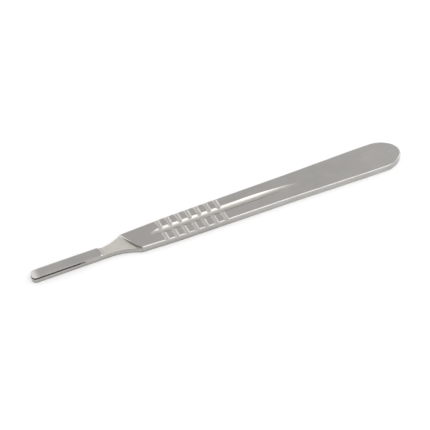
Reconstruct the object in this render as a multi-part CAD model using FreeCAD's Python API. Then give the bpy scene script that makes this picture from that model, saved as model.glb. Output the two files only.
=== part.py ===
import FreeCAD, Part
import math
import os

# A one-piece scalpel handle in stainless steel: a flat body that widens towards a rounded butt, with a
# finger grip and a long channel in both faces, a slanted shoulder, and a thin neck that carries the tongue
# for the blade.
#
# Millimetres. The origin is the middle of the footprint, on the surface that the handle lies on. +X runs
# from the tongue's tip towards the butt, and +Z is up, through the face that the blade lies on. +Y is the
# far side, where the shoulder comes closer to the tip. Distances "from the tip" are measured along X.

# Body
LENGTH = 125.0
THICKNESS = 2.4
TOP_EDGE_RADIUS = 0.5
BACK_EDGE_RADIUS = 0.35
GRIP_WIDTH = 9.2
WAIST_WIDTH = 10.16
BUTT_WIDTH = 11.5
BUTT_LENGTH = 7.6
BUTT_STRAIGHT = 5.4
REAR_TAPER_LENGTH = 26.0
FRONT_TAPER_LENGTH = 16.0
FLANK_BLEND_REACH = 4.5

# Tongue, a bar with a slot along both sides that the edges of the blade's hole run in
TONGUE_LENGTH = 21.4
TONGUE_WIDTH = 3.35
TONGUE_TIP_RADIUS = 1.25
TONGUE_HEEL_RADIUS = 0.9
HEEL_RAMP_RADIUS = 1.5
SLOT_HEIGHT = 0.46
SLOT_DEPTH = 0.5
SLOT_LENGTH = 14.0
SLOT_CUTTER_RADIUS = 5.0
CROWN_WIDTH = 0.7
CROWN_DROP = 0.13
TIP_FACET_LENGTH = 1.4
TIP_FACET_DROP = 0.2

# Neck, the thinner part between the tongue and the shoulder
SEAT_HEIGHT = 1.68
SEAT_EDGE_RADIUS = 0.12
NECK_STRAIGHT = 0.1
FAR_FLARE_LENGTH = 7.5
NEAR_FLARE_LENGTH = 9.4

# Shoulder, the slanted step that the heel of the blade stops against, with a steeper facet at its near end
SHOULDER_WIDTH = 7.65
SHOULDER_LAG = 4.3
SHOULDER_CORNER_RADIUS = 2.5
SHOULDER_CHAMFER = 0.22
SHOULDER_FOOT_RADIUS = 0.3
FACET_SETBACK = 1.3
FACET_WIDTH = 1.55

# Grip, round-bottomed grooves that cross the whole top face and run out inside the edges of the back face
GRIP_SETBACK = 7.25
GROOVE_COUNT = 7
GROOVE_PITCH = 3.25
GROOVE_WIDTH = 1.65
GROOVE_DEPTH = 0.4
GROOVE_RUN = 1.0
BACK_GROOVE_MARGIN = 0.6

# Channel, a shallow round-bottomed groove along the middle of both faces
CHANNEL_WIDTH = 2.8
CHANNEL_DEPTH = 0.6
CHANNEL_LEAD = 2.95
CHANNEL_FRONT_RUN = 4.0
CHANNEL_TAIL = 12.0
CHANNEL_REAR_RUN = 14.0

# Room that a cutting shape has outside the metal
CLEARANCE = 1.0

# Largest share of a wall or a half-width that a rounding takes up
ROUNDING_SHARE = 0.9

# Distance under which two things count as touching
TOUCH = 1e-3

FAR = 1
NEAR = -1

tongue_half = TONGUE_WIDTH / 2
tip_radius = min(TONGUE_TIP_RADIUS, ROUNDING_SHARE * tongue_half)
heel_radius = min(TONGUE_HEEL_RADIUS, ROUNDING_SHARE * tongue_half)
top_edge_radius = min(TOP_EDGE_RADIUS, ROUNDING_SHARE * THICKNESS / 2)
back_edge_radius = min(BACK_EDGE_RADIUS, ROUNDING_SHARE * THICKNESS / 2)
seat_edge_radius = min(SEAT_EDGE_RADIUS, ROUNDING_SHARE * (SEAT_HEIGHT - back_edge_radius))
step_height = THICKNESS - SEAT_HEIGHT
foot_radius = min(SHOULDER_FOOT_RADIUS, ROUNDING_SHARE * (step_height - SHOULDER_CHAMFER))
ramp_height = ROUNDING_SHARE * step_height
ramp_radius = max(HEEL_RAMP_RADIUS, ramp_height)
ramp_angle = math.acos(1 - ramp_height / ramp_radius)
far_shoulder_half = SHOULDER_WIDTH / 2
front_slope = (GRIP_WIDTH / 2 - far_shoulder_half) / FRONT_TAPER_LENGTH
near_shoulder_half = far_shoulder_half + SHOULDER_LAG * front_slope
far_flare_start = TONGUE_LENGTH + NECK_STRAIGHT
far_shoulder = far_flare_start + FAR_FLARE_LENGTH
near_shoulder = far_shoulder + SHOULDER_LAG
near_flare_start = near_shoulder - NEAR_FLARE_LENGTH
grip_front = near_shoulder + GRIP_SETBACK
grip_rear = grip_front + (GROOVE_COUNT - 1) * GROOVE_PITCH + GROOVE_WIDTH
front_taper_end = far_shoulder + FRONT_TAPER_LENGTH
butt_start = LENGTH - BUTT_LENGTH
rear_taper_end = butt_start - BUTT_STRAIGHT
waist = rear_taper_end - REAR_TAPER_LENGTH
outside = max(BUTT_WIDTH, WAIST_WIDTH, GRIP_WIDTH, SHOULDER_WIDTH) / 2 + CLEARANCE


def point(from_tip, y, z=0.0):
    """A point of the model, from its distance behind the tip."""
    return FreeCAD.Vector(from_tip - LENGTH / 2, y, z)


def line(start, end):
    """A straight edge."""
    return Part.LineSegment(start, end).toShape()


def arc(start, middle, end):
    """A round edge through three points."""
    return Part.Arc(start, middle, end).toShape()


def corner_arc(centre_x, centre_y, radius, start_degrees, end_degrees):
    """A round edge about a centre given from the tip."""
    angles = [start_degrees, (start_degrees + end_degrees) / 2, end_degrees]
    turned = [math.radians(angle) for angle in angles]
    return arc(*[point(centre_x + radius * math.cos(a), centre_y + radius * math.sin(a)) for a in turned])


def prism(edges, bottom, top):
    """An upright solid over a closed ring of edges."""
    face = Part.Face(Part.Wire(Part.sortEdges(edges)[0]))
    face.translate(FreeCAD.Vector(0, 0, bottom))
    return face.extrude(FreeCAD.Vector(0, 0, top - bottom))


def ruled_solid(lower, upper, bottom, top):
    """A solid with straight walls between two rings of edges, one at each height."""
    rings = []
    for edges, height in ((lower, bottom), (upper, top)):
        ring = Part.Wire(Part.sortEdges(edges)[0])
        ring.translate(FreeCAD.Vector(0, 0, height))
        rings.append(ring)
    return Part.makeLoft(rings, True, True)


def polygon(corners):
    """The edges of a closed polygon."""
    return [line(a, b) for a, b in zip(corners, corners[1:] + corners[:1])]


def tip_edges(front, half_width, radius):
    """The edges round the front end of a bar, whose corners are rounded."""
    centre_y = half_width - radius
    return [
        corner_arc(front + radius, centre_y, radius, 180, 90),
        line(point(front, centre_y), point(front, -centre_y)),
        corner_arc(front + radius, -centre_y, radius, 270, 180),
    ]


def blended(corners, reach):
    """Straight edges from corner to corner, with an arc over this length beside each inner corner."""
    edges = []
    start = corners[0]
    for before, corner, after in zip(corners, corners[1:], corners[2:]):
        incoming = (corner - before).normalize()
        outgoing = (after - corner).normalize()
        half_turn = incoming.getAngle(outgoing) / 2
        inward = (outgoing - incoming).normalize()
        arc_start = corner - incoming * reach
        middle = corner + inward * reach * math.tan(half_turn / 2)
        arc_end = corner + outgoing * reach
        edges += [line(start, arc_start), arc(arc_start, middle, arc_end)]
        start = arc_end
    return edges + [line(start, corners[-1])]


def flare(side, start, length, end_half):
    """The hollow curve of the neck's edge, which leaves the tongue's side without a bend."""
    rise = end_half - tongue_half
    radius = (length ** 2 + rise ** 2) / (2 * rise)
    half_turn = math.asin(length / radius) / 2
    middle_x = start + radius * math.sin(half_turn)
    middle_y = tongue_half + radius * (1 - math.cos(half_turn))
    return arc(
        point(start, side * tongue_half),
        point(middle_x, side * middle_y),
        point(start + length, side * end_half),
    )


def flank(side, shoulder, shoulder_half):
    """The long edge of the body: a taper to the grip, a fainter one to the waist, and one to the butt."""
    corners = [
        point(shoulder, side * shoulder_half),
        point(front_taper_end, side * GRIP_WIDTH / 2),
        point(waist, side * WAIST_WIDTH / 2),
        point(rear_taper_end, side * BUTT_WIDTH / 2),
        point(butt_start, side * BUTT_WIDTH / 2),
    ]
    return blended(corners, FLANK_BLEND_REACH)


def butt_edges():
    """The round end: an oval of three arcs, which ends with the curvature of an ellipse of this size."""
    half = BUTT_WIDTH / 2
    end_radius = half ** 2 / BUTT_LENGTH
    side_radius = BUTT_LENGTH * (BUTT_LENGTH + half) / BUTT_WIDTH
    meeting = math.degrees(math.atan2(abs(side_radius - half), abs(BUTT_LENGTH - end_radius)))
    return [
        corner_arc(butt_start, half - side_radius, side_radius, 90, meeting),
        corner_arc(LENGTH - end_radius, 0, end_radius, meeting, -meeting),
        corner_arc(butt_start, side_radius - half, side_radius, -meeting, -90),
    ]


def blank(height, top_radius):
    """The outline of the whole handle at one height, with its long edges rounded."""
    edges = [
        *tip_edges(0, tongue_half, tip_radius),
        line(point(tip_radius, tongue_half), point(far_flare_start, tongue_half)),
        flare(FAR, far_flare_start, FAR_FLARE_LENGTH, far_shoulder_half),
        *flank(FAR, far_shoulder, far_shoulder_half),
        *butt_edges(),
        *flank(NEAR, near_shoulder, near_shoulder_half),
        flare(NEAR, near_flare_start, NEAR_FLARE_LENGTH, near_shoulder_half),
        line(point(near_flare_start, -tongue_half), point(tip_radius, -tongue_half)),
    ]
    plate = prism(edges, 0, height)
    corners = [point(far_shoulder, far_shoulder_half), point(near_shoulder, -near_shoulder_half)]
    sharp = [edge for edge in plate.Edges if any(starts_over(edge, corner) for corner in corners)]
    plate = plate.makeFillet(SHOULDER_CORNER_RADIUS, sharp)
    plate = plate.makeFillet(back_edge_radius, [edge for edge in plate.Edges if is_level_at(edge, 0)])
    return plate.makeFillet(top_radius, [edge for edge in plate.Edges if is_level_at(edge, height)])


def starts_over(edge, corner):
    """Whether an edge stands upright over a corner of the outline."""
    box = edge.BoundBox
    centre = FreeCAD.Vector(box.Center.x, box.Center.y, 0)
    return box.ZLength > TOUCH and centre.distanceToPoint(corner) < TOUCH


def is_level_at(edge, height):
    """Whether the whole of an edge lies at one height."""
    box = edge.BoundBox
    return abs(box.ZMin - height) < TOUCH and abs(box.ZMax - height) < TOUCH


def neck_ring(shift=0.0):
    """The ring of edges, seen from above, of what is milled away over the neck and the tongue.

    The wall of the shoulder is straight from its far corner to a bend, and turns 45 degrees to X from there.
    """
    far = point(far_shoulder + shift, far_shoulder_half)
    bend = point(near_shoulder - FACET_SETBACK + shift, FACET_WIDTH - near_shoulder_half)
    reach = outside + bend.y
    slope = (far - bend) * (1 / (far.y - bend.y))
    front = point(-CLEARANCE, 0).x
    corners = [
        FreeCAD.Vector(front, outside, 0),
        far + slope * (outside - far.y),
        bend,
        bend + FreeCAD.Vector(reach, -reach, 0),
        FreeCAD.Vector(front, -outside, 0),
    ]
    return polygon(corners)


def over_neck():
    """What is milled away over the neck, up to the wall of the shoulder and the chamfer on top of it."""
    above = THICKNESS + CLEARANCE
    chamfer_foot = THICKNESS - SHOULDER_CHAMFER
    step = prism(neck_ring(), SEAT_HEIGHT, above)
    ahead = point(far_shoulder, 0).x - CLEARANCE
    wall_foot = [
        edge for edge in step.Edges
        if is_level_at(edge, SEAT_HEIGHT) and edge.CenterOfMass.x > ahead
    ]
    step = step.makeFillet(foot_radius, wall_foot)
    reach = SHOULDER_CHAMFER + CLEARANCE
    chamfer = ruled_solid(neck_ring(), neck_ring(reach), chamfer_foot, above)
    return [step, chamfer]


def shank():
    """The handle without its tongue's head: the thick body behind the shoulder, and the thin neck ahead.

    They meet under the seat, just ahead of the rounding at the foot of the shoulder.
    """
    meeting = neck_ring(-math.sqrt(2) * foot_radius - TOUCH)
    under_seat = prism(meeting, -CLEARANCE, SEAT_HEIGHT)
    body = blank(THICKNESS, top_edge_radius).cut([under_seat, *over_neck()])
    front = prism(meeting, -CLEARANCE, THICKNESS + CLEARANCE)
    neck = blank(SEAT_HEIGHT, seat_edge_radius).common(front)
    return body.fuse([neck])


def heel_edges():
    """The edges round the heel of the tongue, which its flange and its core share."""
    start = TONGUE_LENGTH - heel_radius
    centre_y = tongue_half - heel_radius
    return [
        corner_arc(start, centre_y, heel_radius, 90, 0),
        line(point(TONGUE_LENGTH, centre_y), point(TONGUE_LENGTH, -centre_y)),
        corner_arc(start, -centre_y, heel_radius, 0, -90),
    ]


def flange_ring():
    """The ring of edges of the tongue's flange, over the slots."""
    edges = tip_edges(0, tongue_half, tip_radius) + heel_edges()
    for side in (FAR, NEAR):
        y = side * tongue_half
        edges.append(line(point(tip_radius, y), point(TONGUE_LENGTH - heel_radius, y)))
    return edges


def core_ring():
    """The ring of edges of the tongue's core, which widens where the slot cutter lifts out."""
    core_half = tongue_half - SLOT_DEPTH
    run = math.sqrt(SLOT_CUTTER_RADIUS ** 2 - (SLOT_CUTTER_RADIUS - SLOT_DEPTH) ** 2)
    half_turn = math.asin(run / SLOT_CUTTER_RADIUS) / 2
    middle_run = SLOT_CUTTER_RADIUS * math.sin(half_turn)
    middle_rise = SLOT_CUTTER_RADIUS * (1 - math.cos(half_turn))
    edges = tip_edges(SLOT_DEPTH, core_half, tip_radius - SLOT_DEPTH) + heel_edges()
    for side in (FAR, NEAR):
        start = point(SLOT_LENGTH, side * core_half)
        middle = point(SLOT_LENGTH + middle_run, side * (core_half + middle_rise))
        end = point(SLOT_LENGTH + run, side * tongue_half)
        edges.append(line(point(tip_radius, side * core_half), start))
        edges.append(arc(start, middle, end))
        edges.append(line(end, point(TONGUE_LENGTH - heel_radius, side * tongue_half)))
    return edges


def tongue_head():
    """The upper half of the tongue: its core between the slots, under the flange that holds the blade."""
    flange_bottom = SEAT_HEIGHT + SLOT_HEIGHT
    core = prism(core_ring(), SEAT_HEIGHT - seat_edge_radius, flange_bottom)
    flange = prism(flange_ring(), flange_bottom, THICKNESS)
    return core.fuse([flange.cut(crown_facets()), heel_ramp()])


def heel_ramp():
    """The hollow ramp behind the heel of the tongue, down to the seat."""
    bottom = SEAT_HEIGHT - seat_edge_radius
    inner = TONGUE_LENGTH - heel_radius
    rear = TONGUE_LENGTH + ramp_radius * math.sin(ramp_angle)
    along_ramp = [
        point(rear - ramp_radius * math.sin(angle), 0, SEAT_HEIGHT + ramp_radius * (1 - math.cos(angle)))
        for angle in (ramp_angle, ramp_angle / 2, 0)
    ]
    top = point(inner, 0, SEAT_HEIGHT + ramp_height)
    outline = [
        line(top, along_ramp[0]),
        arc(*along_ramp),
        line(along_ramp[2], point(rear, 0, bottom)),
        line(point(rear, 0, bottom), point(inner, 0, bottom)),
        line(point(inner, 0, bottom), top),
    ]
    section = Part.Face(Part.Wire(outline))
    upright = FreeCAD.Vector(0, 0, 1)
    centre_y = tongue_half - heel_radius
    parts = []
    for side in (FAR, NEAR):
        turned = section.translated(FreeCAD.Vector(0, side * centre_y, 0))
        parts.append(turned.revolve(point(inner, side * centre_y), upright, side * 90))
    start = section.translated(FreeCAD.Vector(0, -centre_y, 0))
    ramp = start.extrude(FreeCAD.Vector(0, 2 * centre_y, 0)).fuse(parts)
    return ramp.common(Part.makeBox(rear, TONGUE_WIDTH, THICKNESS, point(0, -tongue_half)))


def crown_facets():
    """What is taken off the flange: a shallow facet along each side and one across the tip."""
    above = THICKNESS + CLEARANCE
    ridge = tongue_half - CROWN_WIDTH
    edge = tongue_half + CLEARANCE
    edge_drop = CROWN_DROP * (edge - ridge) / CROWN_WIDTH
    tip_drop = TIP_FACET_DROP * (TIP_FACET_LENGTH + CLEARANCE) / TIP_FACET_LENGTH
    facets = []
    for side in (FAR, NEAR):
        corners = [
            point(-CLEARANCE, side * ridge, THICKNESS),
            point(-CLEARANCE, side * edge, THICKNESS - edge_drop),
            point(-CLEARANCE, side * edge, above),
            point(-CLEARANCE, side * ridge, above),
        ]
        section = Part.Face(Part.Wire(polygon(corners)))
        facets.append(section.extrude(FreeCAD.Vector(TONGUE_LENGTH + 2 * CLEARANCE, 0, 0)))
    corners = [
        point(TIP_FACET_LENGTH, -edge, THICKNESS),
        point(-CLEARANCE, -edge, THICKNESS - tip_drop),
        point(-CLEARANCE, -edge, above),
        point(TIP_FACET_LENGTH, -edge, above),
    ]
    section = Part.Face(Part.Wire(polygon(corners)))
    facets.append(section.extrude(FreeCAD.Vector(0, 2 * edge, 0)))
    return facets


def milled_groove(start, end, width, depth, run_in, run_out):
    """What a round cutter takes off along a line on the top face.

    It sinks in evenly over the first run, and lifts out evenly over the last one.
    """
    radius = (width ** 2 / 4 + depth ** 2) / (2 * depth)
    axis = FreeCAD.Vector(0, 0, THICKNESS + radius - depth)
    at_face = FreeCAD.Vector(0, 0, THICKNESS)
    at_depth = FreeCAD.Vector(0, 0, THICKNESS - depth)
    along = (end - start).normalize()
    corners = [
        start + axis,
        start + at_face,
        start + along * run_in + at_depth,
        end - along * run_out + at_depth,
        end + at_face,
        end + axis,
    ]
    profile = Part.Face(Part.Wire(polygon(corners)))
    return profile.revolve(corners[0], along, 360)


def channel():
    """The long channel, from ahead of the grip's first groove to far behind its last one."""
    start = point(grip_front - CHANNEL_LEAD, 0)
    end = point(grip_rear + CHANNEL_TAIL + CHANNEL_REAR_RUN, 0)
    return milled_groove(start, end, CHANNEL_WIDTH, CHANNEL_DEPTH, CHANNEL_FRONT_RUN, CHANNEL_REAR_RUN)


def grip_grooves(reach):
    """The grip's grooves across the top face, each to this distance on both sides of the middle."""
    grooves = []
    for index in range(GROOVE_COUNT):
        middle = grip_front + GROOVE_WIDTH / 2 + index * GROOVE_PITCH
        start = point(middle, -reach)
        end = point(middle, reach)
        grooves.append(milled_groove(start, end, GROOVE_WIDTH, GROOVE_DEPTH, GROOVE_RUN, GROOVE_RUN))
    return grooves


def to_back(cutter):
    """The same cut, made from the back face."""
    return cutter.mirror(point(0, 0, THICKNESS / 2), FreeCAD.Vector(0, 0, 1))


def handle():
    """The whole handle, one solid."""
    body = shank().fuse([tongue_head()]).removeSplitter()
    back_reach = near_shoulder_half - BACK_GROOVE_MARGIN
    top_cuts = [channel(), *grip_grooves(outside + GROOVE_RUN)]
    back_cuts = [to_back(cutter) for cutter in [channel(), *grip_grooves(back_reach)]]
    return body.cut(top_cuts + back_cuts).Solids[0]


result = handle()
print(result.isValid(), result.ShapeType, len(result.Faces), round(result.Volume, 3))
os.makedirs("parts", exist_ok=True)
result.exportStep("parts/handle.step")
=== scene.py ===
import functools
import logging
import math
from dataclasses import dataclass
from enum import Enum
from typing import Any, Iterable

import bmesh
import bpy
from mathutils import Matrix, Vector


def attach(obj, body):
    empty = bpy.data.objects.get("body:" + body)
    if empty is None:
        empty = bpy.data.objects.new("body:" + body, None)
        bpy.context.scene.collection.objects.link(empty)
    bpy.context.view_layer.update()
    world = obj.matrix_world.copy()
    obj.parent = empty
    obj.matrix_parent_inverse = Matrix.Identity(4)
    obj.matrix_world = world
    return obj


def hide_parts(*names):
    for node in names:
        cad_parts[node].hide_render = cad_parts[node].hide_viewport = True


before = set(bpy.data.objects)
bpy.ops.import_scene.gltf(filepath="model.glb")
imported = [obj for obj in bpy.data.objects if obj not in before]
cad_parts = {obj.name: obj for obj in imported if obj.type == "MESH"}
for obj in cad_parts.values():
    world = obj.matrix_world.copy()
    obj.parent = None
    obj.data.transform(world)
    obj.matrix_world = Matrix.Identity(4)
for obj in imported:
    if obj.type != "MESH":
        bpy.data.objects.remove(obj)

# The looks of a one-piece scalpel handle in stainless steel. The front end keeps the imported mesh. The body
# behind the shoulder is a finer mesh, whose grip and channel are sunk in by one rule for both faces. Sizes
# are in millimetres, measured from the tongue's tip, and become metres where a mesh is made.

log = logging.getLogger("scalpel_handle")

MM = 0.001
MESH_NODE = "handle"

# In metres: vertices closer together than the first are merged, and one closer to a cut than the second
# counts as lying on it
MERGE_DISTANCE = 1e-7
CUT_TOLERANCE = 1e-8

# A Mix node has its sockets for numbers and for colours under the same names, so they go by their places
MIX_SHARE, MIX_A, MIX_B = 0, 2, 3
MIX_COLOUR_A, MIX_COLOUR_B, MIX_COLOUR = 6, 7, 2

# How fine the noises of a finish are, and the range in which their sum mostly lies
GRAIN_DETAIL, GRAIN_ROUGHNESS, CLOUD_DETAIL = 3.0, 0.6, 2.0
UNEVEN = (0.7, 1.3)

# Ranges in which a share grows from 0 to 1, all taken from the unit arrow that points out of the surface.
# With "up" for the square of its upward part, they are ranges of up times (1 - up), of 1 - up and of up. The
# last one is a range of its part towards the butt.
LEANING = (0.04, 0.2)
STEEP = (0.2, 0.5)
LEVEL = (0.5, 0.8)
FACES_TIP = (-0.15, -0.45)


class Attribute(Enum):
    """The values that the mesh carries for its finishes, its painted shade and its painted highlights."""

    MILLED = "milled"
    WORN = "worn"
    PAINTED_SHADE = "painted_shade"
    PAINTED_HIGHLIGHT = "painted_highlight"


class Measure(Enum):
    """What says whether a face belongs to a zone: its place, or which way it faces."""

    FROM_TIP = "behind the tip"
    OVER_SEAT = "over the seat"
    ASIDE = "aside of the middle"
    FACES_UP = "faces up"


def linear(hex_colour: str) -> tuple[float, float, float, float]:
    """Turns an sRGB colour into the linear one that shaders take.

    Args:
        hex_colour: The colour as "#RRGGBB".

    Returns:
        Red, green, blue and an alpha of 1.
    """
    channels = [int(hex_colour[i:i + 2], 16) / 255 for i in (1, 3, 5)]
    straight = [c / 12.92 if c <= 0.04045 else ((c + 0.055) / 1.055) ** 2.4 for c in channels]
    return (*straight, 1.0)


def add_node(tree: bpy.types.NodeTree, kind: str, inputs: Any = (), **settings: Any) -> bpy.types.Node:
    """Adds a node with its settings, values and links.

    Args:
        tree: The node tree that gets the node.
        kind: Blender's name of the node type.
        inputs: Values, nodes or sockets, in the order of the inputs or keyed by their names or numbers. A
            node stands for its first output, and None leaves an input as it is.
        **settings: The node's own settings.

    Returns:
        The new node.
    """
    node = tree.nodes.new(kind)
    for name, value in settings.items():
        setattr(node, name, value)
    pairs = inputs.items() if isinstance(inputs, dict) else enumerate(inputs)
    for key, value in pairs:
        if isinstance(value, bpy.types.Node):
            value = value.outputs[0]
        if isinstance(value, bpy.types.NodeSocket):
            tree.links.new(value, node.inputs[key])
        elif value is not None:
            node.inputs[key].default_value = value
    return node


def mix_colours(tree: bpy.types.NodeTree, share: Any, start: Any, end: Any) -> bpy.types.NodeSocket:
    """Goes over from one colour to another.

    Args:
        tree: The material's node tree.
        share: How much of the second colour shows, from 0 to 1.
        start: The first colour, as four numbers or a socket.
        end: The second colour, in the same way.

    Returns:
        The socket of the mixed colour.
    """
    sockets = {MIX_SHARE: share, MIX_COLOUR_A: start, MIX_COLOUR_B: end}
    return add_node(tree, "ShaderNodeMix", sockets, data_type="RGBA").outputs[MIX_COLOUR]


@dataclass(frozen=True)
class SteelFinishOrPaintedLight:
    """One look of the steel's surface: a way in which it was worked, or a painted shade or highlight.

    The grain is a noise that is stretched along the handle, and the cloud is a coarser one that makes the
    finish uneven, as work by hand at a belt or a wheel does.
    """

    name: str
    dark: str
    light: str
    roughness: float
    roughness_spread: float
    grain_length: float
    grain_width: float
    grain_depth: float
    cloud_size: float

    def layer(self, tree: bpy.types.NodeTree) -> list[bpy.types.NodeSocket]:
        """Builds the finish as colour, roughness and height.

        Args:
            tree: The material's node tree.

        Returns:
            The sockets of the colour, the roughness and the height in millimetres.
        """
        place = add_node(tree, "ShaderNodeTexCoord").outputs["Object"]
        across = 1 / (self.grain_width * MM)
        stretch = (1 / (self.grain_length * MM), across, across)
        laid = add_node(tree, "ShaderNodeMapping", {"Vector": place, "Scale": stretch})
        grain = add_node(tree, "ShaderNodeTexNoise", {
            "Vector": laid, "Scale": 1.0, "Detail": GRAIN_DETAIL, "Roughness": GRAIN_ROUGHNESS,
        })
        cloud = add_node(tree, "ShaderNodeTexNoise", {
            "Vector": place, "Scale": 1 / (self.cloud_size * MM), "Detail": CLOUD_DETAIL,
        })
        both = add_node(tree, "ShaderNodeMath", [grain, cloud], operation="ADD")
        uneven = add_node(tree, "ShaderNodeMapRange", [both, *UNEVEN, 0.0, 1.0])
        colour = mix_colours(tree, uneven, linear(self.dark), linear(self.light))
        low = self.roughness - self.roughness_spread
        high = self.roughness + self.roughness_spread
        rough = add_node(tree, "ShaderNodeMapRange", [both, *UNEVEN, high, low])
        height = add_node(tree, "ShaderNodeMath", [grain, self.grain_depth], operation="MULTIPLY")
        return [colour, rough.outputs[0], height.outputs[0]]


# The broad faces were ground and then satin-finished on a wheel, lengthwise. That gives an even, slightly
# warm grey with soft reflections. Real grit lines are about 0.02 mm wide, finer than the render shows, so
# they are drawn 0.3 mm wide.
GROUND_SATIN = SteelFinishOrPaintedLight(
    name="Stainless steel, ground and satin-finished",
    dark="#AEACA9", light="#BAB8B5", roughness=0.34, roughness_spread=0.04,
    grain_length=9.0, grain_width=0.3, grain_depth=0.0012, cloud_size=6.0,
)

# The grooves and the channel were milled and then tumbled, which leaves them brighter and smoother than the
# ground faces, with hardly any direction. The tumbling marks are drawn 0.5 mm wide.
MILLED_TUMBLED = SteelFinishOrPaintedLight(
    name="Stainless steel, milled and tumbled",
    dark="#BFBBB5", light="#CBC7C1", roughness=0.34, roughness_spread=0.05,
    grain_length=0.5, grain_width=0.5, grain_depth=0.001, cloud_size=2.5,
)

# Hands, trays and the tumbling drum rub the rounded edges and the rims first. They turn smoother and a
# little paler than the faces, unevenly along their length.
RUBBED_EDGE = SteelFinishOrPaintedLight(
    name="Stainless steel, rubbed bright",
    dark="#B8B6B3", light="#C8C6C3", roughness=0.24, roughness_spread=0.06,
    grain_length=3.0, grain_width=0.5, grain_depth=0.0006, cloud_size=4.0,
)

# A painted highlight lies at the end of the tongue's top, which every blade slides over, and at the far end
# of the shoulder. Both are coloured nearly as bright as a polished part, and fade into the finish beside
# them.
HIGHLIGHT_STEEL = SteelFinishOrPaintedLight(
    name="Stainless steel, painted highlight",
    dark="#E6E4E1", light="#F1EFEC", roughness=0.3, roughness_spread=0.04,
    grain_length=2.0, grain_width=0.3, grain_depth=0.0005, cloud_size=2.0,
)

# The seat of the blade was milled flat after the satin finish. It keeps the fine lines of the cutter and
# looks paler and warmer than the faces round it.
MILLED_SEAT = SteelFinishOrPaintedLight(
    name="Stainless steel, milled flat",
    dark="#D3CFC9", light="#DFDBD5", roughness=0.42, roughness_spread=0.04,
    grain_length=1.2, grain_width=0.25, grain_depth=0.0015, cloud_size=2.0,
)

# Painted shade on the near part of the shoulder's wall, the neck's edge, the foot of the wall in front of
# the grip and the slots' run-outs: these are coloured darker, with a rougher surface, than the faces round
# them.
SHADED_STEEL = SteelFinishOrPaintedLight(
    name="Stainless steel, painted shade",
    dark="#7E7A74", light="#8E8A84", roughness=0.45, roughness_spread=0.05,
    grain_length=0.8, grain_width=0.2, grain_depth=0.002, cloud_size=1.5,
)

# The slots were cut with a thin disc. Their walls get painted shade, a dark colour with a rough surface.
DEEP_SLOT_SHADE = SteelFinishOrPaintedLight(
    name="Stainless steel, disc-cut and left dull",
    dark="#3F3D3A", light="#504D4A", roughness=0.5, roughness_spread=0.06,
    grain_length=2.0, grain_width=0.12, grain_depth=0.003, cloud_size=1.0,
)


def steel(base: SteelFinishOrPaintedLight, *over: tuple[SteelFinishOrPaintedLight, Attribute]) -> bpy.types.Material:
    """Makes the material of one finish, and of others that take over where the mesh says so.

    Args:
        base: The finish that names the material.
        *over: Finishes and painted light that lie over it, each with the attribute that says where, from 0
               to 1.

    Returns:
        The material.
    """
    material = bpy.data.materials.new(base.name)
    material.use_nodes = True
    tree = material.node_tree
    tree.nodes.clear()
    colour, rough, height = base.layer(tree)
    for finish, where in over:
        mask = add_node(tree, "ShaderNodeAttribute", attribute_name=where.value).outputs["Fac"]
        top_colour, top_rough, top_height = finish.layer(tree)
        colour = mix_colours(tree, mask, colour, top_colour)
        rough = add_node(tree, "ShaderNodeMix", {MIX_SHARE: mask, MIX_A: rough, MIX_B: top_rough}).outputs[0]
        height = add_node(tree, "ShaderNodeMix",
                          {MIX_SHARE: mask, MIX_A: height, MIX_B: top_height}).outputs[0]
    bump = add_node(tree, "ShaderNodeBump", {"Height": height, "Distance": MM, "Strength": 1.0})
    metal = add_node(tree, "ShaderNodeBsdfPrincipled", {
        "Base Color": colour, "Roughness": rough, "Metallic": 1.0, "Normal": bump,
    })
    add_node(tree, "ShaderNodeOutputMaterial", [metal])
    return material


@dataclass
class Grip:
    """The grip's grooves and the long channel, which are sunk into both faces by one rule."""

    first: float = 40.55
    pitch: float = 3.25
    count: int = 7
    width: float = 1.65
    depth: float = 0.4
    run: float = 1.0
    back_reach: float = 3.4332
    channel_start: float = 37.6
    channel_end: float = 87.7
    channel_width: float = 2.55
    channel_depth: float = 0.6
    channel_front_run: float = 4.0
    channel_rear_run: float = 14.0
    rim: float = 0.12
    milled_depth: float = 0.05
    rim_steps: tuple[float, ...] = (-2.0, -1.3, -0.8, -0.4, 0.0, 0.4, 0.8, 1.3, 2.0)
    inside_steps: int = 5
    land_steps: int = 4

    @staticmethod
    def radius(width: float, depth: float) -> float:
        """The radius of a round cutter that leaves a groove of this width and depth."""
        return (width ** 2 / 4 + depth ** 2) / (2 * depth)

    def channel_half(self, from_tip: float) -> float:
        """Gives half of the channel's width at one place.

        Args:
            from_tip: The distance behind the tip.

        Returns:
            Half of the width, or 0 outside the channel.
        """
        run_in = (from_tip - self.channel_start) / self.channel_front_run
        run_out = (self.channel_end - from_tip) / self.channel_rear_run
        depth = self.channel_depth * max(0.0, min(1.0, run_in, run_out))
        rise = self.radius(self.channel_width, self.channel_depth) - self.channel_depth
        return math.sqrt((rise + depth) ** 2 - rise ** 2)

    def columns(self) -> list[float]:
        """Places the mesh's columns across the grip, close together at the grooves' rims.

        Returns:
            Distances behind the tip, in order.
        """
        reach = self.rim_steps[-1] * self.rim
        inside = self.width - 2 * reach
        land = self.pitch - self.width - 2 * reach
        places = []
        for index in range(self.count):
            start = self.first + index * self.pitch
            gaps = ((start, inside, self.inside_steps), (start + self.width, land, self.land_steps))
            for rim, gap, steps in gaps:
                places += [rim + step * self.rim for step in self.rim_steps]
                places += [rim + reach + gap * share / steps for share in range(1, steps)]
        return places


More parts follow.
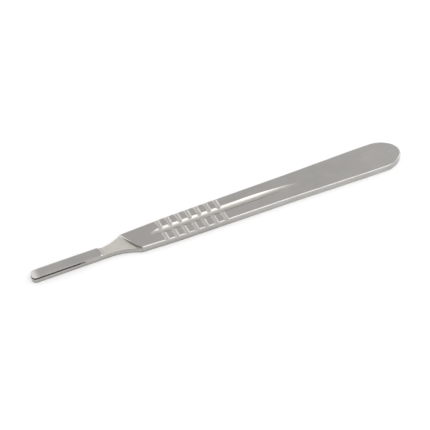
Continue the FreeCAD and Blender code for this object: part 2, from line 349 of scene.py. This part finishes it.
@dataclass
class Body:
    """The thick part behind the shoulder, as rings of vertices from the seam to the butt."""

    length: float = 125.0
    thickness: float = 2.4
    seam: float = 36.0
    seam_gap: float = 0.05
    shoulder: float = 29.0
    shoulder_half: float = 3.825
    grip_start: float = 45.0
    grip_half: float = 4.6
    waist: float = 86.0
    waist_half: float = 5.08
    taper_end: float = 112.0
    butt_start: float = 117.4
    butt_half: float = 5.75
    blend: float = 4.5
    top_edge_radius: float = 0.5
    back_edge_radius: float = 0.35
    top_edge_steps: int = 8
    back_edge_steps: int = 6
    butt_step_degrees: float = 3.0
    seam_steps: int = 14
    channel_step: float = 0.6
    plain_step: float = 1.5
    least_channel_half: float = 0.3
    channel_shares: tuple[float, ...] = (0.2, 0.4, 0.58, 0.74, 0.86, 0.94, 1.0)
    channel_rim_steps: tuple[float, ...] = (0.5, 1.0, 1.6, 2.6)
    squeeze_below: float = 3.0
    outer_steps: int = 5

    def flank(self, from_tip: float) -> tuple[float, float]:
        """Gives the long edge at one place: straight tapers, blended into each other.

        Args:
            from_tip: The distance behind the tip.

        Returns:
            Half of the width there, and its slope.
        """
        places = [self.shoulder, self.grip_start, self.waist, self.taper_end, self.butt_start]
        halves = [self.shoulder_half, self.grip_half, self.waist_half, self.butt_half, self.butt_half]
        slopes = [(b - a) / (q - p) for a, b, p, q in zip(halves, halves[1:], places, places[1:])]
        half = halves[0] + slopes[0] * (from_tip - places[0])
        slope = slopes[0]
        for corner, before, after in zip(places[1:-1], slopes, slopes[1:]):
            past = from_tip - (corner - self.blend)
            if past > 0:
                bent = min(past, 2 * self.blend)
                half += (after - before) * (bent ** 2 / (4 * self.blend) + past - bent)
                slope += (after - before) * bent / (2 * self.blend)
        return half, slope

    def butt(self) -> list[tuple[float, float, float, float]]:
        """Places the columns round the butt, an oval of three arcs.

        Returns:
            For each column, its distance behind the tip, half of the width, and the outward direction.
        """
        length = self.length - self.butt_start
        end_radius = self.butt_half ** 2 / length
        side_radius = length * (length + self.butt_half) / (2 * self.butt_half)
        meeting = math.degrees(math.atan2(abs(side_radius - self.butt_half), abs(length - end_radius)))
        arcs = [
            (self.butt_start, self.butt_half - side_radius, side_radius, 90.0, meeting),
            (self.length - end_radius, 0.0, end_radius, meeting, 0.0),
        ]
        columns = []
        for centre_x, centre_y, radius, start, end in arcs:
            steps = math.ceil((start - end) / self.butt_step_degrees)
            for step in range(1, steps + 1):
                turn = math.radians(start + (end - start) * step / steps)
                out_x, out_y = math.cos(turn), math.sin(turn)
                half = max(0.0, centre_y + radius * out_y)
                columns.append((centre_x + radius * out_x, half, out_x, out_y))
        return columns

    def columns(self, grip: Grip) -> list[tuple[float, float, float, float]]:
        """Places all the columns of the mesh.

        Args:
            grip: The grip, whose rims need columns close together.

        Returns:
            For each column, its distance behind the tip, half of the width, and the outward direction.
        """
        across = grip.columns()
        ahead = across[0] - self.seam
        places = [self.seam + ahead * share / self.seam_steps for share in range(self.seam_steps)]
        places += across
        behind = (
            (places[-1], grip.channel_end, self.channel_step),
            (grip.channel_end, self.butt_start, self.plain_step),
        )
        for start, end, step in behind:
            steps = math.ceil((end - start) / step)
            places += [start + (end - start) * share / steps for share in range(1, steps + 1)]
        columns = []
        for place in places:
            half, slope = self.flank(place)
            size = math.hypot(1.0, slope)
            columns.append((place, half, -slope / size, 1 / size))
        return columns + self.butt()

    def edge_profile(self) -> list[tuple[float, float]]:
        """Gives the rounded edges and the wall between them, from the top face to the back face.

        Returns:
            For each point, its distance inside the outline and its height.
        """
        profile = []
        for step in range(self.top_edge_steps + 1):
            turn = math.pi / 2 * step / self.top_edge_steps
            radius = self.top_edge_radius
            profile.append((radius * (1 - math.sin(turn)), self.thickness - radius * (1 - math.cos(turn))))
        for step in range(self.back_edge_steps + 1):
            turn = math.pi / 2 * step / self.back_edge_steps
            radius = self.back_edge_radius
            profile.append((radius * (1 - math.cos(turn)), radius * (1 - math.sin(turn))))
        return profile

    def rows(self, from_tip: float, half: float, grip: Grip) -> list[float]:
        """Places the vertices of one column between the middle of a face and its rounded edge.

        Args:
            from_tip: The column's distance behind the tip.
            half: The distance from the middle to where the edge begins to round.
            grip: The grip, whose channel needs rows along its rims.

        Returns:
            Distances from the middle, without the middle itself and the edge.
        """
        rim_half = max(self.least_channel_half, grip.channel_half(from_tip))
        inner = [rim_half * share for share in self.channel_shares]
        inner += [rim_half + step * grip.rim for step in self.channel_rim_steps]
        squeeze = min(1.0, half / self.squeeze_below)
        inner = [squeeze * y for y in inner]
        outer = half - inner[-1]
        return inner + [inner[-1] + outer * share / self.outer_steps for share in range(1, self.outer_steps)]

    def ring(self, column: tuple[float, float, float, float], grip: Grip) -> list[Vector]:
        """Makes one ring of vertices round the body.

        Args:
            column: The column's distance behind the tip, half of the width, and the outward direction.
            grip: The grip, whose channel needs rows along its rims.

        Returns:
            The vertices in metres, from the far edge over the back, the near edge and the top face.
        """
        from_tip, half, out_x, out_y = column
        far = [(from_tip - out_x * inset, half - out_y * inset, z) for inset, z in self.edge_profile()]
        near = [(x, -y, z) for x, y, z in reversed(far)]
        ring = list(far)
        for (x, edge_half, z), sign in ((far[-1], 1), (far[0], -1)):
            side = self.rows(from_tip, edge_half, grip)
            line = [-y for y in reversed(side)] + [0.0] + side
            face = [(x, -sign * y, z) for y in line]
            ring += face + (near if sign > 0 else [])
        return [Vector((x - self.length / 2, y, z)) * MM for x, y, z in ring]

    def build(self, mesh: bmesh.types.BMesh, grip: Grip) -> None:
        """Adds the body to a mesh, open at the seam.

        Args:
            mesh: The mesh that gets the body.
            grip: The grip, whose rims need columns and rows close together.
        """
        rings = [[mesh.verts.new(v) for v in self.ring(column, grip)] for column in self.columns(grip)]
        for before, after in zip(rings, rings[1:]):
            for index in range(len(before)):
                following = (index + 1) % len(before)
                mesh.faces.new((before[index], before[following], after[following], after[index]))


@dataclass
class FrontEnd:
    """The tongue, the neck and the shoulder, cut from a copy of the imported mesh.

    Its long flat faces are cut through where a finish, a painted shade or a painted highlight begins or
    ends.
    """

    weld: float = 0.002
    finish_and_painted_light_cuts: tuple[float, ...] = (
        0.4, 0.7, 1.0, 1.4, 1.8, 2.4, 3.2, 14.6, 16.2, 21.7,
        29.2, 29.6, 30.0, 30.4, 30.8, 31.2, 31.6, 32.0, 32.4, 32.8,
    )

    def build(self, mesh: bmesh.types.BMesh, node: bpy.types.Object, body: Body) -> None:
        """Adds the front end to a mesh, open at the seam.

        Args:
            mesh: The mesh that gets the front end.
            node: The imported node, which stays as it is.
            body: The body, which says where the seam is.
        """
        mesh.from_mesh(node.data)
        bmesh.ops.remove_doubles(mesh, verts=mesh.verts, dist=self.weld * MM)
        end = body.seam - body.seam_gap
        for cut in (end, *self.finish_and_painted_light_cuts):
            place = (cut - body.length / 2) * MM
            everything = [*mesh.verts, *mesh.edges, *mesh.faces]
            bmesh.ops.bisect_plane(mesh, geom=everything, dist=CUT_TOLERANCE, plane_co=(place, 0, 0),
                                   plane_no=(1, 0, 0), clear_outer=cut == end)


@dataclass(frozen=True)
class Zone:
    """A part of the front end with a finish or a painted shade of its own, between limits of its measures.

    Places are in millimetres. The direction is a part of the unit arrow that points out of the face.
    """

    name: str
    finish: SteelFinishOrPaintedLight
    limits: tuple[tuple[Measure, float, float], ...]

    def inputs(self) -> dict[str, float]:
        """Gives the limits as named inputs, each by its middle and how far it reaches to both sides.

        Returns:
            The names and the values, in metres where they are places.
        """
        values = {}
        for measure, low, high in self.limits:
            unit = 1.0 if measure is Measure.FACES_UP else MM
            values[f"{self.name}, {measure.value}, middle"] = (low + high) / 2 * unit
            values[f"{self.name}, {measure.value}, reach"] = (high - low) / 2 * unit
        return values


ZONES = (
    Zone("Seat", MILLED_SEAT, (
        (Measure.FROM_TIP, 21.7, 34.0), (Measure.OVER_SEAT, -0.02, 0.02), (Measure.FACES_UP, 0.95, 1.05),
    )),
    # The neck's edge, the slots and the slots' run-outs get painted shade
    Zone("Neck edge", SHADED_STEEL, (
        (Measure.FROM_TIP, 22.5, 34.0), (Measure.OVER_SEAT, -0.13, -0.001), (Measure.FACES_UP, 0.2, 1.05),
    )),
    Zone("Slots", DEEP_SLOT_SHADE, (
        (Measure.FROM_TIP, -0.1, 14.6), (Measure.OVER_SEAT, -0.1, 0.47), (Measure.ASIDE, -0.1, 1.7),
    )),
    Zone("Slots, run-out", SHADED_STEEL, (
        (Measure.FROM_TIP, 14.6, 16.2), (Measure.OVER_SEAT, -0.1, 0.47), (Measure.ASIDE, -0.1, 1.7),
    )),
)


@dataclass
class GripTree:
    """The Geometry Nodes tree that sinks the grip in and lays the finishes, painted shade and highlights.

    Its inputs are named sizes, and each method adds the nodes of one step.
    """

    names: tuple[str, ...]

    def __post_init__(self) -> None:
        """Makes the tree and its inputs, and reads where each part of the mesh is and which way it faces."""
        self.tree = bpy.data.node_groups.new("grip_finishes_and_painted_light", "GeometryNodeTree")
        for way in ("INPUT", "OUTPUT"):
            self.tree.interface.new_socket(name="Geometry", in_out=way, socket_type="NodeSocketGeometry")
        for name in self.names:
            self.tree.interface.new_socket(name=name, in_out="INPUT", socket_type="NodeSocketFloat")
        self.size = add_node(self.tree, "NodeGroupInput").outputs
        position = add_node(self.tree, "GeometryNodeInputPosition")
        self.x, self.y, self.z = add_node(self.tree, "ShaderNodeSeparateXYZ", [position]).outputs
        normal = add_node(self.tree, "GeometryNodeInputNormal")
        self.facing_butt, _, self.facing_up = add_node(self.tree, "ShaderNodeSeparateXYZ", [normal]).outputs
        self.from_tip = self.calc("ADD", self.x, self.size["Half length"])
        self.aside = self.calc("ABSOLUTE", self.y)
        self.upper = self.calc("GREATER_THAN", self.z, self.calc("MULTIPLY", self.size["Thickness"], 0.5))

    def calc(self, operation: str, *values: Any) -> bpy.types.Node:
        """Adds one step of arithmetic."""
        return add_node(self.tree, "ShaderNodeMath", values, operation=operation)

    def product(self, *shares: Any) -> bpy.types.Node:
        """Multiplies shares with each other."""
        return functools.reduce(lambda before, share: self.calc("MULTIPLY", before, share), shares)

    def share(self, value: Any, start: Any, end: Any, most: Any = 1.0, soft: bool = False) -> bpy.types.Node:
        """Turns a value into a share that grows between two limits.

        Args:
            value: The value that is looked at.
            start: The value at which the share is still 0.
            end: The value from which on the share is full, which may be the lower one.
            most: The full share.
            soft: Whether the share starts and ends softly.

        Returns:
            The node of the share.
        """
        return add_node(self.tree, "ShaderNodeMapRange", [value, start, end, 0.0, most],
                        interpolation_type="SMOOTHSTEP" if soft else "LINEAR")

    def store(self, shape: Any, attribute: Attribute, share: Any, domain: str) -> bpy.types.Node:
        """Stores a share as an attribute that the materials read.

        Args:
            shape: The node of the shape.
            attribute: The attribute that gets the share.
            share: The share, from 0 to 1.
            domain: Blender's name of the parts of the mesh that carry it.

        Returns:
            The node of the shape that carries it.
        """
        inputs = {"Geometry": shape, "Name": attribute.value, "Value": share}
        return add_node(self.tree, "GeometryNodeStoreNamedAttribute", inputs,
                        data_type="FLOAT", domain=domain)

    def off_groove(self) -> bpy.types.Node:
        """Measures the distance from the nearest groove's middle, which repeats with the pitch.

        Returns:
            The node of the distance.
        """
        along = self.calc("SUBTRACT", self.from_tip, self.size["First groove"])
        number = self.calc("ROUND", self.calc("DIVIDE", along, self.size["Groove pitch"]))
        number = add_node(self.tree, "ShaderNodeClamp", [number, 0.0, self.size["Last groove number"]])
        return self.calc("SUBTRACT", along, self.calc("MULTIPLY", number, self.size["Groove pitch"]))

    def cut_depth(self) -> bpy.types.Node:
        """Works out the depth of the grooves and the channel together, with soft rims.

        Returns:
            The node of the depth below the face.
        """
        # How far each cutter has sunk in, from below 0 beyond its ends to 1
        size = self.size
        left = self.calc("SUBTRACT", size["Back groove reach"], self.aside)
        groove_sunk = self.calc("MAXIMUM", self.calc("DIVIDE", left, size["Groove run-out"]), self.upper)
        ahead = self.calc("SUBTRACT", self.from_tip, size["Channel start"])
        behind = self.calc("SUBTRACT", size["Channel end"], self.from_tip)
        channel_sunk = self.calc("MINIMUM", self.calc("DIVIDE", ahead, size["Channel front run"]),
                                 self.calc("DIVIDE", behind, size["Channel rear run"]))

        # The depth that each round cutter leaves, and the softened union of both
        cutters = (("Groove", self.off_groove(), groove_sunk), ("Channel", self.aside, channel_sunk))
        depths = []
        for kind, off, sunk in cutters:
            sunk = add_node(self.tree, "ShaderNodeClamp", [sunk, -1.0, 1.0])
            rise = self.calc("SUBTRACT", size[f"{kind} radius"], size[f"{kind} depth"])
            reach = self.calc("MULTIPLY_ADD", size[f"{kind} depth"], sunk, rise)
            level = self.calc("SUBTRACT", self.calc("POWER", reach, 2.0), self.calc("MULTIPLY", off, off))
            level = self.calc("SQRT", self.calc("MAXIMUM", level, 0.0))
            depths.append(self.calc("SUBTRACT", level, rise))
        rim = size["Rim softness"]
        return self.calc("SMOOTH_MAX", self.calc("SMOOTH_MAX", *depths, rim), 0.0, rim)

    def sink(self) -> bpy.types.Node:
        """Takes the top face down and the back face up by the depth of the cuts.

        Returns:
            The node of the shape, which says where it is milled.
        """
        cut = self.cut_depth()
        top = self.calc("MINIMUM", self.z, self.calc("SUBTRACT", self.size["Thickness"], cut))
        back = self.calc("MAXIMUM", self.z, cut)
        height = add_node(self.tree, "ShaderNodeMix", {MIX_SHARE: self.upper, MIX_A: back, MIX_B: top})
        moved = self.calc("ABSOLUTE", self.calc("SUBTRACT", self.z, height))
        milled = self.share(moved, 0.0, self.size["Milled depth"])
        position = add_node(self.tree, "ShaderNodeCombineXYZ", [self.x, self.y, height])
        shape = self.store(self.size["Geometry"], Attribute.MILLED, milled, "POINT")
        return add_node(self.tree, "GeometryNodeSetPosition", {"Geometry": shape, "Position": position})

    def smooth(self, shape: bpy.types.Node) -> bpy.types.Node:
        """Shades the shape smooth, and leaves the edges sharp that turn by more than the limit.

        Args:
            shape: The node of the shape.

        Returns:
            The node of the shaded shape.
        """
        shape = add_node(self.tree, "GeometryNodeSetShadeSmooth", {"Geometry": shape, "Shade Smooth": True})
        angle = add_node(self.tree, "GeometryNodeInputMeshEdgeAngle").outputs["Unsigned Angle"]
        sharp = self.calc("GREATER_THAN", angle, self.size["Smooth below"])
        inputs = {"Geometry": shape, "Selection": sharp, "Shade Smooth": False}
        return add_node(self.tree, "GeometryNodeSetShadeSmooth", inputs, domain="EDGE")

    def wear_and_painted_light(self) -> dict[Attribute, bpy.types.Node]:
        """Says how use has changed the surface, and where shade and highlights are painted on.

        Returns:
            For each attribute, the node of its share.
        """
        # What leans between level and upright is rubbed by use. The lower edges are rubbed only behind the
        # grip;
        # in front of it they keep the darker ground colour as painted shade
        size = self.size
        up = self.calc("POWER", self.facing_up, 2.0)
        upright = self.calc("SUBTRACT", 1.0, up)
        leaning = self.share(self.calc("MULTIPLY", up, upright), *LEANING)
        rubbed_past_shade = self.share(self.from_tip, size["Shade fade and rub start"], size["Shade fade and rub end"])
        rubbed = self.calc("MULTIPLY", leaning, self.calc("MAXIMUM", rubbed_past_shade, self.upper))

        # The foot of the wall in front of the grip gets painted shade, darker towards the floor
        low = self.share(self.z, size["Wall shade top"], size["Wall shade foot"])
        steep = self.share(upright, *STEEP, most=size["Dullness"])
        shaded_wall_foot = self.product(self.calc("SUBTRACT", 1.0, rubbed_past_shade), low, steep)

        # The end of the tongue's top, which every blade slides over, gets a painted highlight
        near_tip = self.share(self.from_tip, size["Tip highlight end"], size["Tip highlight start"], soft=True)
        highlit_tip = self.product(near_tip, self.share(up, *LEVEL), self.upper)

        shaded_shoulder, highlit_shoulder = self.shoulder()
        return {
            Attribute.WORN: rubbed,
            Attribute.PAINTED_SHADE: self.calc("MAXIMUM", shaded_wall_foot, shaded_shoulder),
            Attribute.PAINTED_HIGHLIGHT: self.calc("MAXIMUM", highlit_tip, highlit_shoulder),
        }

    def shoulder(self) -> tuple[bpy.types.Node, bpy.types.Node]:
        """Says where the shoulder gets painted shade and where a painted highlight.

        The painted highlight lies at its far end and the painted shade at its near one, and on the rim the
        highlight reaches further along than on the wall.

        Returns:
            The nodes of the painted shade's and of the painted highlight's share.
        """
        size = self.size
        whole = self.product(
            self.share(self.facing_butt, *FACES_TIP),
            self.share(self.z, size["Seat height"], size["Shoulder foot"]),
            self.calc("GREATER_THAN", self.from_tip, size["Shoulder start"]),
            self.calc("LESS_THAN", self.from_tip, size["Shoulder end"]),
        )
        lag = self.calc("MULTIPLY", self.share(self.z, size["Rim foot"], size["Thickness"]), size["Rim lag"])
        along = self.calc("SUBTRACT", self.from_tip, lag)
        change = self.share(along, size["Shoulder highlight end"], size["Shoulder shade start"], soft=True)
        painted_shade = self.calc("MULTIPLY", whole, change)
        return painted_shade, self.calc("SUBTRACT", whole, painted_shade)

    def lay_finishes(self, shape: bpy.types.Node) -> bpy.types.Node:
        """Gives the shape its materials, one for each zone and one for the rest.

        Args:
            shape: The node of the shape.

        Returns:
            The node of the finished shape.
        """
        measured = {
            Measure.FROM_TIP: self.from_tip,
            Measure.OVER_SEAT: self.calc("SUBTRACT", self.z, self.size["Seat height"]),
            Measure.ASIDE: self.aside,
            Measure.FACES_UP: self.facing_up,
        }
        # Over the ground steel lie the milled and rubbed finishes, the painted shade and the painted
        # highlights
        ground = steel(GROUND_SATIN, (MILLED_TUMBLED, Attribute.MILLED), (RUBBED_EDGE, Attribute.WORN),
                       (SHADED_STEEL, Attribute.PAINTED_SHADE), (HIGHLIGHT_STEEL, Attribute.PAINTED_HIGHLIGHT))
        shape = add_node(self.tree, "GeometryNodeSetMaterial", {"Geometry": shape, "Material": ground})
        materials = {finish: steel(finish) for finish in dict.fromkeys(zone.finish for zone in ZONES)}
        for zone in ZONES:
            within = []
            for measure, _, _ in zone.limits:
                name = f"{zone.name}, {measure.value}"
                limits = (self.size[f"{name}, middle"], self.size[f"{name}, reach"])
                within.append(self.calc("COMPARE", measured[measure], *limits))
            shape = add_node(self.tree, "GeometryNodeSetMaterial", {
                "Geometry": shape, "Selection": self.product(*within), "Material": materials[zone.finish],
            })
        return shape

    def build(self) -> bpy.types.NodeTree:
        """Adds all the steps.

        Returns:
            The Geometry Nodes tree.
        """
        shape = self.smooth(self.sink())
        for attribute, share in self.wear_and_painted_light().items():
            shape = self.store(shape, attribute, share, "CORNER")
        shape = add_node(self.tree, "GeometryNodeRealizeInstances", [shape])
        add_node(self.tree, "NodeGroupOutput", [self.lay_finishes(shape)])
        return self.tree


@dataclass
class Handle:
    """The whole handle: its mesh, where its finishes, painted shade and painted highlights lie, and the
    piece.
    """

    body: Body
    grip: Grip
    front: FrontEnd
    seat_height: float = 1.68
    shoulder_start: float = 28.5
    shoulder_end: float = 33.6
    shoulder_foot: float = 1.75
    rim_foot: float = 2.1
    rim_lag: float = 1.6
    # Where the painted highlights and painted shade of the shoulder, the tip and the lower walls lie, and
    # how strong the walls' painted shade is
    shoulder_highlight_end: float = 29.2
    shoulder_shade_start: float = 30.4
    tip_highlight_start: float = 0.5
    tip_highlight_end: float = 2.6
    shade_fade_and_rub_start: float = 55.0
    wall_shade_top: float = 1.15
    wall_shade_foot: float = 0.25
    shade_fade_and_rub_end: float = 85.0
    wall_shade_strength: float = 0.5
    smooth_below_degrees: float = 32.0

    def blank(self) -> bpy.types.Object:
        """Makes the handle without its grip, closed along the seam.

        Returns:
            The object, which isn't yet a piece.
        """
        mesh = bmesh.new()
        self.front.build(mesh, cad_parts[MESH_NODE], self.body)
        self.body.build(mesh, self.grip)
        bmesh.ops.remove_doubles(mesh, verts=mesh.verts, dist=MERGE_DISTANCE)
        bmesh.ops.dissolve_degenerate(mesh, edges=mesh.edges, dist=MERGE_DISTANCE)
        open_edges = [edge for edge in mesh.edges if edge.is_boundary]
        bmesh.ops.bridge_loops(mesh, edges=open_edges)
        bmesh.ops.recalc_face_normals(mesh, faces=mesh.faces)
        still_open = sum(not edge.is_manifold for edge in mesh.edges)
        log.info("blank: %d faces, %d open edges", len(mesh.faces), still_open)
        data = bpy.data.meshes.new("handle_blank")
        mesh.to_mesh(data)
        mesh.free()
        blank = bpy.data.objects.new("handle_blank", data)
        bpy.context.scene.collection.objects.link(blank)
        return blank

    def inputs(self) -> dict[str, float]:
        """Gives the tree's named inputs.

        Returns:
            The names and the values, in metres where they are lengths.
        """
        grip, body = self.grip, self.body
        lengths = {
            "Half length": body.length / 2,
            "Thickness": body.thickness,
            "First groove": grip.first + grip.width / 2,
            "Groove pitch": grip.pitch,
            "Groove radius": grip.radius(grip.width, grip.depth),
            "Groove depth": grip.depth,
            "Groove run-out": grip.run,
            "Back groove reach": grip.back_reach,
            "Channel start": grip.channel_start,
            "Channel end": grip.channel_end,
            "Channel radius": grip.radius(grip.channel_width, grip.channel_depth),
            "Channel depth": grip.channel_depth,
            "Channel front run": grip.channel_front_run,
            "Channel rear run": grip.channel_rear_run,
            "Rim softness": grip.rim,
            "Milled depth": grip.milled_depth,
            "Seat height": self.seat_height,
            "Shoulder start": self.shoulder_start,
            "Shoulder end": self.shoulder_end,
            "Shoulder foot": self.shoulder_foot,
            "Rim foot": self.rim_foot,
            "Rim lag": self.rim_lag,
            "Shoulder highlight end": self.shoulder_highlight_end,
            "Shoulder shade start": self.shoulder_shade_start,
            "Tip highlight start": self.tip_highlight_start,
            "Tip highlight end": self.tip_highlight_end,
            "Shade fade and rub start": self.shade_fade_and_rub_start,
            "Wall shade top": self.wall_shade_top,
            "Wall shade foot": self.wall_shade_foot,
            "Shade fade and rub end": self.shade_fade_and_rub_end,
        }
        values = {name: length * MM for name, length in lengths.items()}
        values["Last groove number"] = grip.count - 1.0
        values["Dullness"] = self.wall_shade_strength
        values["Smooth below"] = math.radians(self.smooth_below_degrees)
        for zone in ZONES:
            values.update(zone.inputs())
        return values

    def build(self) -> bpy.types.Object:
        """Makes the finished piece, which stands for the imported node.

        Returns:
            The piece.
        """
        blank = self.blank()
        values = self.inputs()
        tree = GripTree(tuple(values)).build()
        modifier = blank.modifiers.new("grip_finishes_and_painted_light", "NODES")
        modifier.node_group = tree
        for item in tree.interface.items_tree:
            if item.in_out == "INPUT" and item.name in values:
                modifier[item.identifier] = values[item.name]
        weighted = blank.modifiers.new("even_faces", "WEIGHTED_NORMAL")
        weighted.keep_sharp = True
        shaped = blank.evaluated_get(bpy.context.evaluated_depsgraph_get())
        data = bpy.data.meshes.new_from_object(shaped)
        data.name = "scalpel_handle"
        piece = bpy.data.objects.new("scalpel_handle", data)
        bpy.context.scene.collection.objects.link(piece)
        bpy.data.objects.remove(blank)
        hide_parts(MESH_NODE)
        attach(piece, "root")
        return piece


@dataclass(frozen=True)
class Softbox:
    """One soft lamp: where it stands, what it is turned to, its size and its brightness."""

    name: str
    place: tuple[float, float, float]
    width: float
    height: float
    brightness: float
    target: tuple[float, float, float] = (0.0, 0.0, 0.0)

    def build(self) -> bpy.types.Object:
        """Makes the lamp, which the camera doesn't see.

        Returns:
            The lamp.
        """
        light = bpy.data.lights.new(self.name, "AREA")
        light.shape = "RECTANGLE"
        light.size = self.width
        light.size_y = self.height
        light.energy = self.brightness * math.pi * self.width * self.height
        lamp = bpy.data.objects.new(self.name, light)
        lamp.location = self.place
        lamp.rotation_euler = (Vector(self.target) - Vector(self.place)).to_track_quat("-Z", "Y").to_euler()
        lamp.visible_camera = False
        bpy.context.scene.collection.objects.link(lamp)
        return lamp


@dataclass
class Studio:
    """The floor, the pale surroundings, the lamps and the camera."""

    azimuth: float = 25.6
    elevation: float = 46.6
    distance: float = 340.0
    focal_pixels: float = 1105.0
    picture_pixels: float = 430.0
    aim: tuple[float, float, float] = (-3.091, 0.538, 0.106)
    sensor: float = 36.0
    floor_size: float = 3.0
    floor_colour: str = "#EEEEEE"
    floor_fill: float = 0.16
    sky: str = "#FFFFFF"
    sky_strength: float = 0.85
    gap: str = "#F0EFEE"
    gap_direction: tuple[float, float, float] = (0.32, 0.6, 0.72)
    gap_border: tuple[float, float] = (0.85, 0.975)
    nearest_seen: float = 10.0
    lamps: tuple[Softbox, ...] = (
        Softbox("overhead_softbox", (0.1, -0.2, 0.64), 0.55, 0.4, 0.7),
        Softbox("front_softbox", (0.26, -0.56, 0.64), 0.95, 0.42, 1.2),
        Softbox("left_softbox", (-0.5, 0.45, 0.36), 0.4, 0.35, 0.45),
        Softbox("right_softbox", (0.66, 0.05, 0.27), 0.35, 0.3, 1.4),
        Softbox("back_softbox", (0.6, 0.48, 0.4), 0.35, 0.3, 0.45),
    )

    def camera(self) -> None:
        """Makes the camera at the photo's viewing angle."""
        turn, tilt = math.radians(self.azimuth), math.radians(self.elevation)
        level = math.cos(tilt)
        forward = Vector((level * math.sin(turn), level * math.cos(turn), -math.sin(tilt)))
        data = bpy.data.cameras.new("camera")
        data.sensor_width = self.sensor
        data.lens = self.sensor * self.focal_pixels / self.picture_pixels
        data.clip_start = self.nearest_seen * MM
        camera = bpy.data.objects.new("camera", data)
        camera.rotation_euler = forward.to_track_quat("-Z", "Y").to_euler()
        camera.location = (Vector(self.aim) - forward * self.distance) * MM
        bpy.context.scene.collection.objects.link(camera)
        bpy.context.scene.camera = camera

    def world(self) -> None:
        """Makes pale surroundings with a duller gap high up behind the handle."""
        world = bpy.data.worlds.new("studio")
        world.use_nodes = True
        tree = world.node_tree
        tree.nodes.clear()
        way = add_node(tree, "ShaderNodeTexCoord").outputs["Generated"]
        facing = add_node(tree, "ShaderNodeVectorMath", [way, self.gap_direction], operation="DOT_PRODUCT")
        gap = add_node(tree, "ShaderNodeMapRange", [facing.outputs["Value"], *self.gap_border, 0.0, 1.0],
                       interpolation_type="SMOOTHSTEP")
        colour = mix_colours(tree, gap, linear(self.sky), linear(self.gap))
        around = add_node(tree, "ShaderNodeBackground", [colour, self.sky_strength])
        white = add_node(tree, "ShaderNodeBackground", [linear(self.sky), 1.0])
        seen = add_node(tree, "ShaderNodeLightPath").outputs["Is Camera Ray"]
        background = add_node(tree, "ShaderNodeMixShader", [seen, around, white])
        add_node(tree, "ShaderNodeOutputWorld", [background])
        bpy.context.scene.world = world

    def floor(self) -> None:
        """Makes the white floor, which keeps the handle's shadow and lets views from below through."""
        half = self.floor_size / 2
        mesh = bpy.data.meshes.new("floor")
        mesh.from_pydata([(-half, -half, 0), (half, -half, 0), (half, half, 0), (-half, half, 0)], [],
                         [(0, 1, 2, 3)])
        # The card has no gloss, so it shows the handle's soft shadow and no reflection of the handle
        material = bpy.data.materials.new("White card, matt")
        material.use_nodes = True
        tree = material.node_tree
        tree.nodes.clear()
        matt = add_node(tree, "ShaderNodeBsdfDiffuse", [linear(self.floor_colour)])
        rays = add_node(tree, "ShaderNodeLightPath").outputs
        seen = add_node(tree, "ShaderNodeMath", [rays["Is Camera Ray"], rays["Is Glossy Ray"]],
                        operation="ADD")
        seen = add_node(tree, "ShaderNodeMath", [seen, rays["Is Transmission Ray"]], operation="ADD")
        fill = add_node(tree, "ShaderNodeMath", [seen, self.floor_fill], operation="MULTIPLY")
        glow = add_node(tree, "ShaderNodeEmission", [linear(self.sky), fill])
        card = add_node(tree, "ShaderNodeAddShader", [matt, glow])
        below = add_node(tree, "ShaderNodeNewGeometry").outputs["Backfacing"]
        clear = add_node(tree, "ShaderNodeBsdfTransparent")
        surface = add_node(tree, "ShaderNodeMixShader", [below, card, clear])
        add_node(tree, "ShaderNodeOutputMaterial", [surface])
        mesh.materials.append(material)
        floor = bpy.data.objects.new("floor", mesh)
        bpy.context.scene.collection.objects.link(floor)

    def build(self) -> None:
        """Sets up the whole studio."""
        bpy.context.scene.view_settings.view_transform = "Standard"
        self.camera()
        self.world()
        self.floor()
        for lamp in self.lamps:
            lamp.build()


def main() -> None:
    """Builds the studio and the handle."""
    logging.basicConfig(level=logging.INFO, format="%(name)s: %(message)s")
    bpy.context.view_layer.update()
    Studio().build()
    piece = Handle(Body(), Grip(), FrontEnd()).build()
    mesh = piece.data
    log.info("piece %s: %d vertices, %d faces", piece.name, len(mesh.vertices), len(mesh.polygons))


if __name__ == "__main__":
    main()
